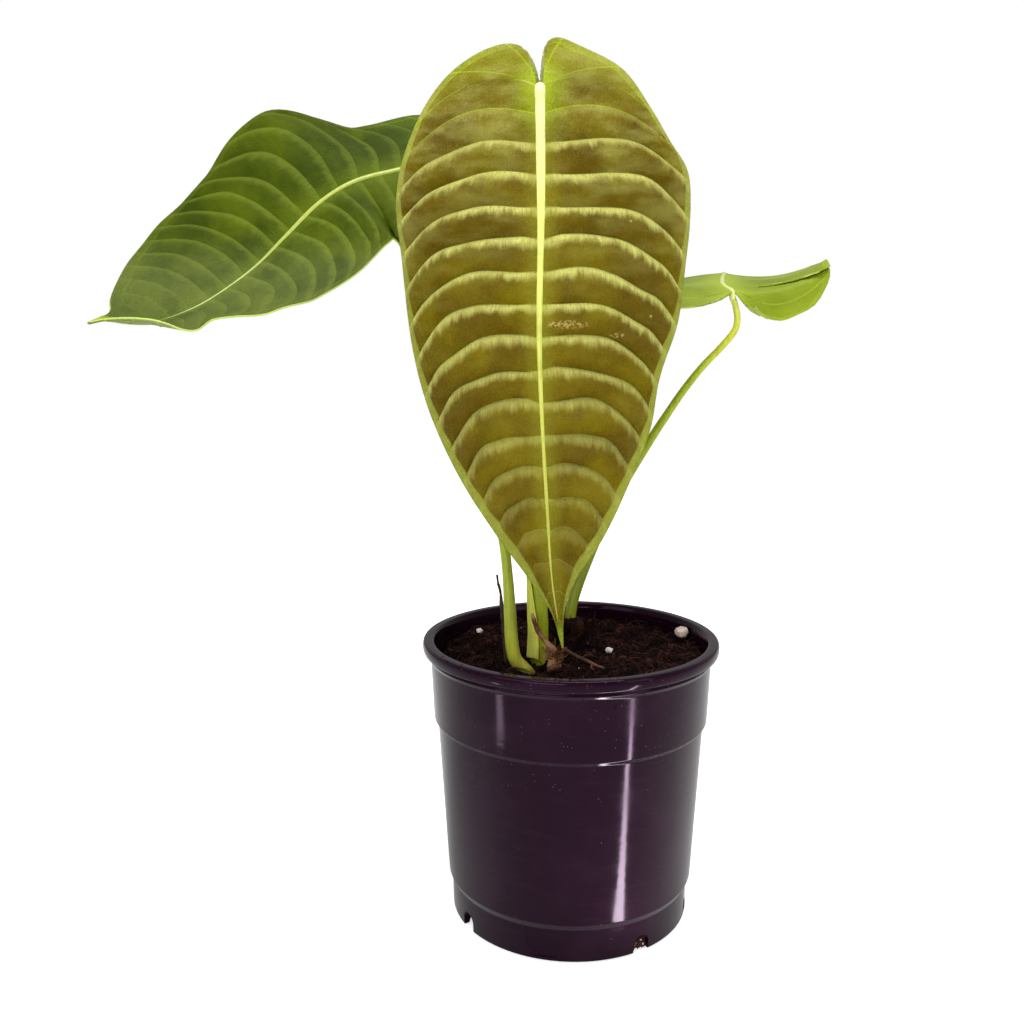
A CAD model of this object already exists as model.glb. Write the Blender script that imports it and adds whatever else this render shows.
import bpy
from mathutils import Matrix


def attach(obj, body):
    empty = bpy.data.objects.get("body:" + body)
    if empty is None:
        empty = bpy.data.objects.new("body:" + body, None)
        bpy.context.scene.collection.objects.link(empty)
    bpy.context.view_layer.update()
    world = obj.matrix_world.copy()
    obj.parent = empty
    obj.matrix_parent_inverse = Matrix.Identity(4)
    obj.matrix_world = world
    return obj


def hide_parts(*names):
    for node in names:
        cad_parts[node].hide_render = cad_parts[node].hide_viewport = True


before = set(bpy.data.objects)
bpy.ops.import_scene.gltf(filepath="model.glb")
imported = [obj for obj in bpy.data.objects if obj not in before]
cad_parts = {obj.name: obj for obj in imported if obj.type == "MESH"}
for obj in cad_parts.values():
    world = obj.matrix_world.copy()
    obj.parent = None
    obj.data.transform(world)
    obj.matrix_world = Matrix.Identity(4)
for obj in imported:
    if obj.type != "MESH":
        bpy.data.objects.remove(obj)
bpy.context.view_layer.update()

import math

import bmesh
import bpy
import numpy as np
from mathutils import Matrix, Vector, noise

body = "root"
mm = 0.001  # sizes below are in millimetres, as in the CAD source
scene = bpy.context.scene
scene.view_settings.view_transform = "Standard"


# Camera and studio, at the photograph's angle

studio = {
    "cameraPlace": (0, -0.36216, 0.20617),
    "pitch": 0.151622, "yaw": -0.059569, "roll": -0.003311,
    "lens": 35, "sensor": 36,
    "backgroundLight": 0.4, "floorGlow": 0.68,
    "softboxes": {
        "overhead": {"place": (0.05, -0.16, 1.15), "size": (0.8, 0.4), "power": 10},
        "frontLeft": {"place": (-0.95, -0.95, 0.75), "size": (0.7, 0.9), "power": 3.4},
        "lowFront": {"place": (-0.35, -1.15, 0.3), "size": (0.6, 0.3), "power": 4.2},
        "frontRight": {"place": (1.0, -0.8, 0.55), "size": (0.5, 0.8), "power": 2.4},
    },
    "strips": {  # narrow lamps flat on the floor, mirrored by the pot's wall as upright highlights
        "stripLeft": {"place": (-0.191, -0.146), "turn": -59, "size": (0.018, 0.11), "power": 0.06},
        "stripRight": {"place": (0.123, -0.127), "turn": 51.8, "size": (0.007, 0.24), "power": 0.26},
    },
    "stripHeight": 0.0015,
    "aim": (0, 0, 0.15),
    "floorReach": 9, "floorLevel": -0.0006,
}


def makeCamera():
    pitch, yaw, roll = studio["pitch"], studio["yaw"], studio["roll"]
    ahead = Vector((math.sin(yaw) * math.cos(pitch), math.cos(yaw) * math.cos(pitch), -math.sin(pitch)))
    right = Vector((math.cos(yaw), -math.sin(yaw), 0))
    up = right.cross(ahead)
    right, up = right * math.cos(roll) + up * math.sin(roll), up * math.cos(roll) - right * math.sin(roll)
    camera = bpy.data.objects.new("camera", bpy.data.cameras.new("camera"))
    camera.data.lens, camera.data.sensor_width = studio["lens"], studio["sensor"]
    camera.data.clip_start, camera.data.clip_end = 0.01, 40
    turn = Matrix((right, up, -ahead)).transposed().to_4x4()
    camera.matrix_world = Matrix.Translation(studio["cameraPlace"]) @ turn
    scene.collection.objects.link(camera)
    scene.camera = camera


def addLamp(name, lamp, place, turn):
    light = bpy.data.lights.new(name, "AREA")
    light.shape = "RECTANGLE"
    light.size, light.size_y = lamp["size"]
    light.energy = lamp["power"]
    holder = bpy.data.objects.new(name, light)
    holder.location, holder.rotation_euler = place, turn
    holder.visible_camera = False
    scene.collection.objects.link(holder)


def makeLights():
    for name, box in studio["softboxes"].items():
        aim = Vector(studio["aim"]) - Vector(box["place"])
        addLamp(name, box, box["place"], aim.to_track_quat("-Z", "Y").to_euler())
    for name, strip in studio["strips"].items():
        turn = (math.pi, 0, math.radians(strip["turn"]))
        addLamp(name, strip, (*strip["place"], studio["stripHeight"]), turn)
    world = bpy.data.worlds.new("studio")
    world.use_nodes = True
    scene.world = world
    tree = world.node_tree
    backdrop = tree.nodes["Background"].inputs
    backdrop["Color"].default_value = (1, 1, 1, 1)
    seen = put(tree, "ShaderNodeLightPath").outputs["Is Camera Ray"]
    level = wired(tree, "ShaderNodeMapRange", {"Value": seen, "To Min": studio["backgroundLight"]})
    tree.links.new(level, backdrop["Strength"])


def makeFloor():
    reach, level = studio["floorReach"], studio["floorLevel"]
    corners = [(x * reach, y * reach, level) for x, y in ((-1, -1), (1, -1), (1, 1), (-1, 1))]
    floor = meshPiece("floor", corners, [(0, 1, 2, 3)], [makeFloorMaterial()])


# Small helpers for nodes, in shaders and geometry alike

def put(tree, kind, wires=None, **settings):
    item = tree.nodes.new(kind)
    for key, value in settings.items():
        setattr(item, key, value)
    for key, value in (wires or {}).items():
        socket = item.inputs[key]
        if isinstance(key, str) and not socket.enabled:  # some nodes hold each label more than once
            socket = [other for other in item.inputs if other.enabled and other.name == key][0]
        if isinstance(value, bpy.types.NodeSocket):
            tree.links.new(value, socket)
        else:
            socket.default_value = value
    return item


def wired(tree, kind, wires=None, **settings):
    return put(tree, kind, wires, **settings).outputs[0]


def connect(tree, sockets, values):
    for label, value in values.items():
        tree.links.new(value, sockets[label])


def calc(tree, operation, *values):
    return wired(tree, "ShaderNodeMath", dict(enumerate(values)), operation=operation)


def times(tree, value, *others):
    for other in others:
        value = calc(tree, "MULTIPLY", value, other)
    return value


def plus(tree, value, *others):
    for other in others:
        value = calc(tree, "ADD", value, other)
    return value


def minus(tree, first, second):
    return calc(tree, "SUBTRACT", first, second)


def vectorCalc(tree, operation, first, second):
    key = "Scale" if operation == "SCALE" else 1
    return wired(tree, "ShaderNodeVectorMath", {0: first, key: second}, operation=operation)


def stretched(tree, spot, x, y, z):
    return vectorCalc(tree, "MULTIPLY", spot, (x, y, z))


def between(tree, value, low, high, start=0.0, end=1.0):
    wires = {"Value": value, "From Min": low, "From Max": high, "To Min": start, "To Max": end}
    return wired(tree, "ShaderNodeMapRange", wires, interpolation_type="SMOOTHSTEP")


def blend(tree, share, *tones):  # each tone is a socket, or red, green and blue
    first, second = (tone if isinstance(tone, bpy.types.NodeSocket) else (*tone, 1) for tone in tones)
    wires = {0: share, 6: first, 7: second}
    return put(tree, "ShaderNodeMix", wires, data_type="RGBA", clamp_factor=True).outputs[2]


def cloud(tree, spot, scale, detail=2.0, rough=0.5):
    wires = {"Vector": spot, "Scale": scale, "Detail": detail, "Roughness": rough}
    return wired(tree, "ShaderNodeTexNoise", wires)


def startTree(name, kind, inputs, outputs, handed):  # an input without a value is a material
    tree = bpy.data.node_groups.new(name, kind)
    kinds = {float: "NodeSocketFloat", int: "NodeSocketInt", tuple: "NodeSocketVector"}
    if kind == "GeometryNodeTree":
        tree.interface.new_socket("Geometry", in_out="INPUT", socket_type=handed)
    for label, value in inputs.items():
        wanted = kinds.get(type(value), "NodeSocketMaterial")
        socket = tree.interface.new_socket(label, in_out="INPUT", socket_type=wanted)
        if value is not None:
            socket.default_value = value
    for label in outputs:
        tree.interface.new_socket(label, in_out="OUTPUT", socket_type=handed)
    return tree, tree.nodes.new("NodeGroupInput").outputs, tree.nodes.new("NodeGroupOutput").inputs


def shaderGroup(name, inputs, *outputs):
    return startTree(name, "ShaderNodeTree", inputs, outputs, "NodeSocketFloat")


def useGroup(tree, group, wires):
    return put(tree, "ShaderNodeGroup", wires, node_tree=group).outputs


def shapeTree(name, inputs):
    return startTree(name, "GeometryNodeTree", inputs, ["Geometry"], "NodeSocketGeometry")


def grow(piece, tree, values):
    modifier = piece.modifiers.new("grow", "NODES")
    modifier.node_group = tree
    for item in tree.interface.items_tree:
        if item.item_type == "SOCKET" and item.in_out == "INPUT" and item.name in values:
            modifier[item.identifier] = values[item.name]
    return settle(piece)


def settle(piece):
    bpy.context.view_layer.update()
    seen = piece.evaluated_get(bpy.context.evaluated_depsgraph_get())
    mesh = bpy.data.meshes.new_from_object(seen)
    piece.modifiers.clear()
    piece.data = mesh
    return piece


# Small helpers for meshes and curves

def meshPiece(name, points, faces, materials, smooth=True, edges=()):
    mesh = bpy.data.meshes.new(name)
    mesh.from_pydata([tuple(p) for p in points], list(edges), faces)
    for material in materials:
        mesh.materials.append(material)
    if smooth:
        mesh.shade_smooth()
    piece = bpy.data.objects.new(name, mesh)
    scene.collection.objects.link(piece)
    return piece


def copyPiece(piece, name):
    twin = piece.copy()
    twin.data = piece.data.copy()
    twin.name = name
    scene.collection.objects.link(twin)
    return twin


def remember(piece, name, values):
    kept = piece.data.attributes.new(name, "FLOAT", "POINT").data
    kept.foreach_set("value", np.asarray(values, np.float32))


def mend(piece, distance=2e-6, outward=True):
    shell = bmesh.new()
    shell.from_mesh(piece.data)
    bmesh.ops.remove_doubles(shell, verts=shell.verts, dist=distance)
    bmesh.ops.dissolve_degenerate(shell, edges=shell.edges, dist=1e-7)
    if outward:
        bmesh.ops.recalc_face_normals(shell, faces=shell.faces)
    shell.to_mesh(piece.data)
    shell.free()


def gridFaces(rows, columns, first=0, flipped=False):  # quads of a grid whose points run row by row
    starts = [first + row * columns + i for row in range(rows - 1) for i in range(columns - 1)]
    if flipped:
        return [(a, a + 1, a + columns + 1, a + columns) for a in starts]
    return [(a, a + columns, a + columns + 1, a + 1) for a in starts]


def settlePiece(piece, slot, *nodes):
    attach(piece, body)
    if nodes:
        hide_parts(*nodes)


def gentle(x, low, high):
    share = np.clip((np.asarray(x, float) - low) / (high - low), 0, 1)
    return share * share * (3 - 2 * share)


def tableAt(table, f):
    f = np.asarray(f, float)
    out = np.full(f.shape, float(table[0][1]))
    for (f0, v0), (f1, v1) in zip(table, table[1:]):
        out = np.where(f >= f0, v0 + (v1 - v0) * gentle(f, f0, f1), out)
    return np.where(f >= table[-1][0], table[-1][1], out)


def smoothCurve(points, count=1500):
    p = [np.array(list(q) + [0.0] * (3 - len(q)), float) for q in points]
    p = [2 * p[0] - p[1]] + p + [2 * p[-1] - p[-2]]
    spans = len(points) - 1
    made = []
    for i in range(spans):
        a, b, c, d = p[i:i + 4]
        t1 = np.linalg.norm(b - a) ** 0.5
        t2 = t1 + np.linalg.norm(c - b) ** 0.5
        t3 = t2 + np.linalg.norm(d - c) ** 0.5
        t = np.linspace(t1, t2, max(2, count // spans), endpoint=i == spans - 1)[:, None]
        ab = (t1 - t) / t1 * a + t / t1 * b
        bc = (t2 - t) / (t2 - t1) * b + (t - t1) / (t2 - t1) * c
        cd = (t3 - t) / (t3 - t2) * c + (t - t2) / (t3 - t2) * d
        abc = (t2 - t) / t2 * ab + t / t2 * bc
        bcd = (t3 - t) / (t3 - t1) * bc + (t - t1) / (t3 - t1) * cd
        made.append((t2 - t) / (t2 - t1) * abc + (t - t1) / (t2 - t1) * bcd)
    made = np.concatenate(made)
    run = np.concatenate([[0], np.cumsum(np.linalg.norm(np.diff(made, axis=0), axis=1))])
    return made, run / run[-1]


def along(curve, f):
    points, run = curve
    return np.stack([np.interp(f, run, points[:, axis]) for axis in range(3)], -1)


def heading(curve, f):
    step = along(curve, np.clip(f + 1e-3, 0, 1)) - along(curve, np.clip(f - 1e-3, 0, 1))
    return step / np.linalg.norm(step, axis=-1, keepdims=True)


# Shader groups that several materials share

def makeGrainGroup():  # soft mottling and fine grain, from any coordinates in metres
    group, given, made = shaderGroup(
        "grain", {"Spot": (0, 0, 0), "Mottle Scale": 90.0, "Grain Scale": 900.0}, "Mottle", "Grain", "Speck")
    spot, fine = given["Spot"], given["Grain Scale"]
    cells = put(group, "ShaderNodeTexVoronoi", {"Vector": spot, "Scale": fine}).outputs
    dots = between(group, cells["Distance"], 0.08, 0.2, 1, 0)
    chance = wired(group, "ShaderNodeSeparateColor", {0: cells["Color"]})
    connect(group, made, {
        "Mottle": cloud(group, spot, given["Mottle Scale"], 3, 0.55),
        "Grain": cloud(group, spot, fine, 2, 0.6),
        "Speck": times(group, dots, between(group, chance, 0.72, 0.78))})
    return group


def makeVeinGroup():  # masks that follow a blade's veins, from its own attributes
    group, given, made = shaderGroup(
        "leafVeins", {"Vein": 0.0, "Rib": 0.0, "Edge": 0.0, "Line Width": 0.03, "Ends": 1.0},
        "Line", "Slope", "Streak", "Margin", "Near Rib", "Lobe", "Sinus")
    vein, rib, edge, width, ends = (given[key] for key in ("Vein", "Rib", "Edge", "Line Width", "Ends"))
    phase = calc(group, "FRACT", vein)
    near = calc(group, "MINIMUM", phase, minus(group, 1.0, phase))
    line = between(group, near, times(group, width, 0.35), width, 1, 0)
    collective = calc(group, "ABSOLUTE", minus(group, edge, 3.0))  # the vein that runs 3 mm inside the edge
    line = calc(group, "MAXIMUM", line, between(group, collective, 0.08, 0.34, 0.8, 0))
    grid = wired(group, "ShaderNodeCombineXYZ", {0: vein, 1: rib})
    ragged = cloud(group, stretched(group, grid, 0.9, 0.35, 1), 1.0, 3, 0.65)
    lower = plus(group, phase, times(group, minus(group, ragged, 0.5), 0.5))
    slope = times(group, between(group, phase, 0.0, 0.035), between(group, lower, 0.08, 0.4, 1, 0), ends)
    connect(group, made, {
        "Line": times(group, line, between(group, ends, 0, 1, 0.45, 1)),
        "Slope": slope,
        "Streak": cloud(group, stretched(group, grid, 1.1, 1.7, 1), 1.6, 4, 0.7),
        "Margin": between(group, edge, 2.4, 3.6, 1, 0),
        "Near Rib": between(group, rib, 0.8, 5.5, 1, 0),
        "Lobe": between(group, vein, 0.8, 4.2, 1, 0),
        "Sinus": times(group, between(group, rib, 1.0, 13.0, 1, 0), between(group, vein, 2.5, 5.5, 1, 0))})
    return group


def makeDustGroup():  # scattered crumbs of dust, thicker where a broad cloud is dense
    group, given, made = shaderGroup("dust", {"Spot": (0, 0, 0), "Scale": 420.0, "Cover": 0.5}, "Dust")
    cells = put(group, "ShaderNodeTexVoronoi", {"Vector": given["Spot"], "Scale": given["Scale"]}).outputs
    dots = between(group, cells["Distance"], 0.06, 0.17, 1, 0)
    chance = put(group, "ShaderNodeSeparateColor", {0: cells["Color"]}).outputs[1]
    dense = times(group, plus(group, chance, cloud(group, given["Spot"], 60, 3, 0.6)), 0.6)
    limit = minus(group, 0.95, times(group, given["Cover"], 0.4))
    connect(group, made, {"Dust": times(group, dots, calc(group, "GREATER_THAN", dense, limit))})
    return group


grainGroup = makeGrainGroup()
veinGroup = makeVeinGroup()
dustGroup = makeDustGroup()


# Materials

def startMaterial(name, **plain):
    material = bpy.data.materials.new(name)
    material.use_nodes = True
    tree = material.node_tree
    sockets = tree.nodes["Principled BSDF"].inputs
    labels = {"roughness": "Roughness", "coat": "Coat Weight", "coatRoughness": "Coat Roughness",
              "specular": "Specular IOR Level"}
    for key, value in plain.items():
        sockets[labels[key]].default_value = value
    return material, tree, sockets, put(tree, "ShaderNodeTexCoord").outputs["Object"]


def endMaterial(tree, sockets, tone, gloss, height, strength, depth):
    bump = wired(tree, "ShaderNodeBump", {"Height": height, "Strength": strength, "Distance": depth * mm})
    connect(tree, sockets, {"Base Color": tone, "Roughness": gloss, "Normal": bump})


def attribute(tree, name):
    return put(tree, "ShaderNodeAttribute", attribute_name=name).outputs["Fac"]


def grainOf(tree, spot, mottleScale, grainScale):
    return useGroup(tree, grainGroup, {"Spot": spot, "Mottle Scale": mottleScale, "Grain Scale": grainScale})


def veinsOf(tree, vein, rib, more):
    wires = {"Vein": vein, "Rib": rib, "Edge": attribute(tree, "edgeMm")}
    return useGroup(tree, veinGroup, {**wires, **more})


def heightOf(tree, spot):
    return put(tree, "ShaderNodeSeparateXYZ", {0: spot}).outputs[2]


def makeFloorMaterial():
    material, tree, sockets, spot = startMaterial("paleFloor", roughness=0.8)
    tone = blend(tree, cloud(tree, spot, 3, 2), (0.88, 0.88, 0.87), (0.92, 0.92, 0.91))
    seen = put(tree, "ShaderNodeLightPath").outputs["Is Camera Ray"]
    sockets["Emission Color"].default_value = (1, 1, 1, 1)
    connect(tree, sockets, {"Base Color": tone, "Emission Strength": times(tree, seen, studio["floorGlow"])})
    return material


def shinyPatches(tree, spot, vein, rib, share):  # glossy patches over the first veins
    patches = cloud(tree, stretched(tree, spot, 75, 75, 190), 1.0, 2, 0.5)
    patches = between(tree, patches, 0.36, 0.74, 0, share)
    return times(tree, patches, between(tree, vein, 4, 11, 1, 0.1), between(tree, rib, 1, 9))


def markMask(tree, spot, x, z, wide, tall, scribbled):  # one old scuff, or a plain dot
    axes = vectorCalc(tree, "SUBTRACT", spot, (x * mm, 0, z * mm))
    axes = stretched(tree, axes, 1 / (wide * mm), 0, 1 / (tall * mm))
    reach = put(tree, "ShaderNodeVectorMath", {0: axes}, operation="LENGTH").outputs["Value"]
    mask = between(tree, reach, 0.6, 1.0, 1, 0)
    if scribbled:
        mask = times(tree, mask, between(tree, cloud(tree, spot, 1100, 3, 0.7), 0.5, 0.56))
    return mask


def makeBladeMaterial(name, look):
    material, tree, sockets, spot = startMaterial(name, specular=look["specular"])
    sockets["Specular Tint"].default_value = (1, 0.96, 0.4, 1)
    vein, rib = attribute(tree, "vein"), attribute(tree, "ribMm")
    veins = veinsOf(tree, vein, rib, {"Line Width": look["lineWidth"], "Ends": attribute(tree, "ends")})
    grain = grainOf(tree, spot, look["mottleScale"], 1500.0)
    tone = blend(tree, between(tree, grain["Mottle"], 0.35, 0.68), look["dark"], look["mid"])
    fading = between(tree, vein, look["basal"] + 5, look["veins"] - 4, 1, look["tipSlope"])
    streaked = times(tree, veins["Slope"], between(tree, veins["Streak"], 0.3, 0.6, 0.5, 1), fading)
    for mask, share, shade in (
            (streaked, "slopeShare", "slope"), (veins["Near Rib"], "ribShare", "nearRib"),
            (veins["Margin"], "marginShare", "margin"), (veins["Lobe"], "lobeShare", "lobe"),
            (veins["Sinus"], "lobeShare", "sinus")):
        tone = blend(tree, times(tree, mask, look[share]), tone, look[shade])
    if "shine" in look:
        tone = blend(tree, shinyPatches(tree, spot, vein, rib, look["shineShare"]), tone, look["shine"])
    first = between(tree, vein, look["basal"] + 1.3, look["basal"] + 1.9, 1, 0)  # brighter lines on the lobes
    lineShare = times(tree, veins["Line"], plus(tree, times(tree, first, 0.6), look["lineShare"]))
    tone = blend(tree, lineShare, tone, blend(tree, first, look["line"], look["sinus"]))
    tone = blend(tree, times(tree, grain["Speck"], 0.3), tone, look["line"])
    if "silver" in look:  # a hazy lower part
        height = heightOf(tree, spot)
        haze = between(tree, height, look["silverFull"], look["silverFrom"], look["silverShare"], 0)
        haze = times(tree, haze, between(tree, grain["Mottle"], 0.25, 0.6, 0.6, 1))
        tone = blend(tree, haze, tone, look["silver"])
    for mark in look.get("marks", []):
        tone = blend(tree, times(tree, markMask(tree, spot, *mark), 0.85), tone, look["markTone"])
    if "tip" in look:
        reach = look.get("tipFrom", 1.5)
        tip = between(tree, vein, look["veins"] - reach, look["veins"] - 0.4 * reach, 0, 0.9)
        tone = blend(tree, tip, tone, look["tip"])
    gloss = between(tree, grain["Grain"], 0.3, 0.7, look["roughness"] - 0.05, look["roughness"] + 0.08)
    quilt = times(tree, cloud(tree, spot, 420, 4, 0.7), 1.1)
    height = plus(tree, times(tree, veins["Streak"], 0.7), quilt, times(tree, grain["Grain"], 0.3))
    endMaterial(tree, sockets, tone, gloss, height, look["bump"], 0.9)
    return material


def makeUnderMaterial(name, look):
    material, tree, sockets, spot = startMaterial(name, specular=0.35)
    veins = veinsOf(tree, attribute(tree, "vein"), attribute(tree, "ribMm"), {"Line Width": 0.06})
    grain = grainOf(tree, spot, 120.0, 1300.0)
    tone = blend(tree, grain["Mottle"], look["underDark"], look["underPale"])
    tone = blend(tree, times(tree, veins["Line"], 0.6), tone, look["underVein"])
    gloss = between(tree, grain["Grain"], 0.2, 0.8, 0.5, 0.7)
    net = put(tree, "ShaderNodeTexVoronoi", {"Vector": spot, "Scale": 620.0}, feature="DISTANCE_TO_EDGE")
    height = plus(tree, between(tree, net.outputs["Distance"], 0.0, 0.12, 1, 0), grain["Grain"])
    endMaterial(tree, sockets, tone, gloss, height, 0.35, 0.3)
    return material


def makeStemMaterial(name, look):  # the attribute along runs from 0 at the foot to 1 at the blade
    coat = look.get("coat", 0.05)
    material, tree, sockets, spot = startMaterial(name, coat=coat, coatRoughness=0.25, specular=0.3)
    grain = grainOf(tree, spot, 110.0, 700.0)
    fibres = cloud(tree, stretched(tree, spot, 1400, 1400, 45), 1.0, 3, 0.6)
    tone = wired(tree, "ShaderNodeValToRGB", {"Fac": attribute(tree, "along")})
    stops = tone.node.color_ramp.elements
    for index, (place, shade) in enumerate(look["stops"]):
        stop = stops[index] if index < 2 else stops.new(place)
        stop.position, stop.color = place, (*shade, 1)
    tone = blend(tree, between(tree, fibres, 0.3, 0.7, 0, look.get("streak", 0.35)), tone, look["shade"])
    tone = blend(tree, between(tree, grain["Mottle"], 0.5, 0.75, 0, 0.35), tone, look["shade"])
    freckles = times(tree, grain["Speck"], look.get("spots", 0.0))
    tone = blend(tree, freckles, tone, (0.03, 0.04, 0.01))
    gloss = between(tree, grain["Grain"], 0.3, 0.7, look["roughness"] - 0.06, look["roughness"] + 0.08)
    height = plus(tree, fibres, times(tree, grain["Grain"], 0.4))
    endMaterial(tree, sockets, tone, gloss, height, look.get("bump", 0.25), 0.3)
    return material


def makeDryMaterial(name, look):  # soil, fibres, dry stalks and grains
    material, tree, sockets, spot = startMaterial(name, specular=look.get("specular", 0.3))
    grain = grainOf(tree, spot, 160.0, 1100.0)
    tone = blend(tree, between(tree, grain["Mottle"], 0.36, 0.66), look["dark"], look["pale"])
    flecks = times(tree, grain["Speck"], look.get("fleckShare", 0.5))
    tone = blend(tree, flecks, tone, look.get("fleck", look["pale"]))
    gloss = between(tree, grain["Grain"], 0.2, 0.8, look["roughness"] - 0.1, look["roughness"] + 0.08)
    height = plus(tree, grain["Grain"], grain["Mottle"])
    endMaterial(tree, sockets, tone, gloss, height, look["bump"], 0.6)
    return material


def makePotMaterial():
    look = {"plastic": (0.008, 0.0018, 0.006), "haze": (0.022, 0.007, 0.018), "edge": (0.24, 0.1, 0.17),
            "dust": (0.26, 0.11, 0.08), "tint": (0.42, 0.26, 0.42, 1)}
    material, tree, sockets, spot = startMaterial("potPlastic", specular=0.25)
    sockets["Specular Tint"].default_value = look["tint"]
    grain = grainOf(tree, spot, 45.0, 1600.0)
    rubbed = cloud(tree, stretched(tree, spot, 60, 60, 420), 1.0, 3, 0.6)  # faint turning marks of the mould
    tone = blend(tree, between(tree, grain["Mottle"], 0.45, 0.75, 0, 0.35), look["plastic"], look["haze"])
    tone = blend(tree, between(tree, rubbed, 0.52, 0.75, 0, 0.25), tone, look["haze"])
    rim = put(tree, "ShaderNodeLayerWeight", {"Blend": 0.12}).outputs["Facing"]
    tone = blend(tree, between(tree, rim, 0.5, 1.0, 0, 0.9), tone, look["edge"])
    cover = between(tree, heightOf(tree, spot), 0.04, 0.1, 0.1, 0.36)  # dustier towards the rim
    crumbs = useGroup(tree, dustGroup, {"Spot": spot, "Scale": 900.0, "Cover": cover})["Dust"]
    tone = blend(tree, times(tree, crumbs, 0.7), tone, look["dust"])
    gloss = plus(tree, between(tree, grain["Mottle"], 0.3, 0.7, 0.09, 0.15), times(tree, crumbs, 0.5))
    waves = plus(tree, times(tree, rubbed, 0.6), times(tree, crumbs, 0.8))
    endMaterial(tree, sockets, tone, gloss, waves, 0.2, 0.4)
    return material


# Geometry trees: pleats and ribs on the blades, sweeps along a path, scattered crumbs and fibres

fullTurn = 6.28  # radians


def named(tree, label):
    found = put(tree, "GeometryNodeInputNamedAttribute", {"Name": label}, data_type="FLOAT")
    return found.outputs["Attribute"]


def drawn(tree, seed, low, high, kind="FLOAT", **more):  # a random value, the same in every run
    wires = {"Min": low, "Max": high, "Seed": seed, **more}
    luck = put(tree, "FunctionNodeRandomValue", wires, data_type=kind)
    return [socket for socket in luck.outputs if socket.enabled][0]


def jitter(tree, scale, detail):  # a noise vector about zero
    wires = {"Vector": wired(tree, "GeometryNodeInputPosition"), "Scale": scale, "Detail": detail}
    return vectorCalc(tree, "SUBTRACT", put(tree, "ShaderNodeTexNoise", wires).outputs[1], (0.5, 0.5, 0.5))


def moved(tree, geometry, way, amount):
    offset = vectorCalc(tree, "SCALE", way, amount)
    return wired(tree, "GeometryNodeSetPosition", {"Geometry": geometry, "Offset": offset})


def lifted(tree, geometry, amount):
    return moved(tree, geometry, wired(tree, "GeometryNodeInputNormal"), amount)


def lumps(tree, scale, detail, rough):
    place = wired(tree, "GeometryNodeInputPosition")
    return minus(tree, cloud(tree, place, scale, detail, rough), 0.5)


def sweep(tree, curve, radius, sides):
    section = wired(tree, "GeometryNodeCurvePrimitiveCircle", {"Resolution": sides, "Radius": 1.0})
    tube = wired(tree, "GeometryNodeCurveToMesh", {
        "Curve": curve, "Profile Curve": section, "Scale": radius, "Fill Caps": True})
    return wired(tree, "GeometryNodeSetShadeSmooth", {"Geometry": tube, "Shade Smooth": True})


def scatter(tree, given, instance, rotation, size):
    points = put(tree, "GeometryNodeDistributePointsOnFaces", {
        "Mesh": given["Geometry"], "Density": given["Density"], "Seed": given["Seed"]}).outputs["Points"]
    placed = wired(tree, "GeometryNodeInstanceOnPoints", {
        "Points": points, "Instance": instance, "Rotation": rotation, "Scale": size})
    return wired(tree, "GeometryNodeRealizeInstances", {"Geometry": placed})


def endTree(tree, result, geometry, finish):
    real = wired(tree, "GeometryNodeRealizeInstances", {"Geometry": geometry})
    painted = wired(tree, "GeometryNodeSetMaterial", {"Geometry": real, "Material": finish})
    connect(tree, result, {"Geometry": painted})
    return tree


def makePleatTree():  # a steep rise after each vein, then a slow fall to the next one
    tree, given, result = shapeTree("pleats", {
        "Pleat Height": 0.002, "Crest": 0.34, "Unevenness": 0.0004, "Seed": 4, "Finish": None})
    vein, fade, crest = named(tree, "vein"), named(tree, "fade"), given["Crest"]
    phase = calc(tree, "FRACT", vein)
    quarter = math.pi / 2
    rise = calc(tree, "SINE", times(tree, calc(tree, "DIVIDE", phase, crest), quarter))
    left = calc(tree, "DIVIDE", minus(tree, phase, crest), minus(tree, 1.0, crest))
    fall = calc(tree, "COSINE", times(tree, left, quarter))
    rising = calc(tree, "LESS_THAN", phase, crest)
    wave = plus(tree, times(tree, rise, rising), times(tree, fall, minus(tree, 1.0, rising)))
    pleat = plus(tree, calc(tree, "FLOOR", vein), times(tree, named(tree, "half"), 40.0))
    luck = drawn(tree, given["Seed"], 0.84, 1.12, ID=pleat)
    lift = times(tree, minus(tree, times(tree, wave, luck), 0.5), given["Pleat Height"], fade)
    lift = plus(tree, lift, times(tree, lumps(tree, 70, 2, 0.5), given["Unevenness"], fade))
    return endTree(tree, result, lifted(tree, given["Geometry"], lift), given["Finish"])


def makeRibTree():  # side veins: raised ribs along the rows of a sheet that are marked onVein
    tree, given, result = shapeTree("ribs", {
        "Rib Radius": 0.0004, "Rib End Share": 0.4, "Sink": 0.00025, "Finish": None})
    sunk = lifted(tree, given["Geometry"], times(tree, given["Sink"], -1.0))
    marked = calc(tree, "GREATER_THAN", named(tree, "onVein"), 0.9)
    curve = wired(tree, "GeometryNodeMeshToCurve", {"Mesh": sunk, "Selection": marked})
    rib, edge = named(tree, "ribMm"), named(tree, "edgeMm")
    share = calc(tree, "DIVIDE", rib, plus(tree, rib, edge, 0.001))
    thin = wired(tree, "ShaderNodeMapRange", {
        "Value": share, "To Min": 1.0, "To Max": given["Rib End Share"]})
    swept = sweep(tree, curve, times(tree, thin, given["Rib Radius"]), 8)
    return endTree(tree, result, swept, given["Finish"])


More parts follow.
